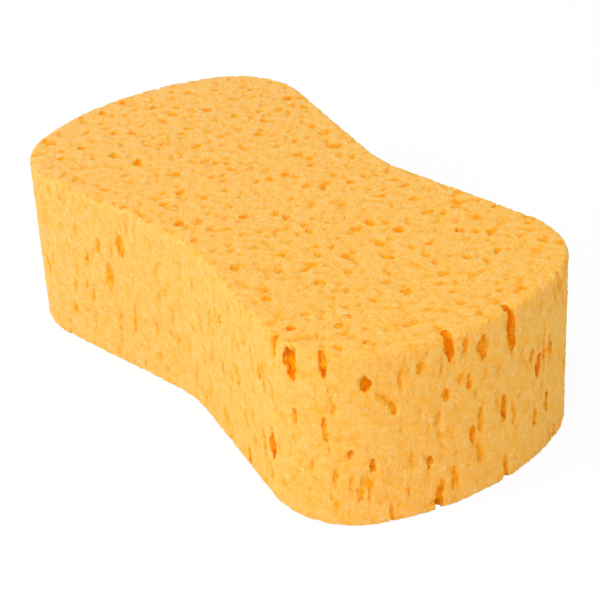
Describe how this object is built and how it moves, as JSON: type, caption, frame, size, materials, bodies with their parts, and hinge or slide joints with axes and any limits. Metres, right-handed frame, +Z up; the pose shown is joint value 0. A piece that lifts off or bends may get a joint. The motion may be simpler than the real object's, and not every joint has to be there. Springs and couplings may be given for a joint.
{
  "type": "cleaning sponge",
  "caption": "Large hourglass block of open-cell foam with bowed ends and a narrow waist for the hand, for wiping and washing.",
  "frame": {"origin": "middle of the bottom face, on the surface that the sponge lies on", "axes": "+X along the length towards one bowed end, +Z up through the foam's thickness, and -Y towards the front long side"},
  "size_m": [0.21, 0.11, 0.064],
  "materials": {
    "foam": "cut open-cell polyurethane foam, warm yellow orange, matt, with round pits in the top and bottom and upright slits in the sides"
  },
  "bodies": {
    "root": {"sponge_body": "foam"}
  },
  "joints": []
}
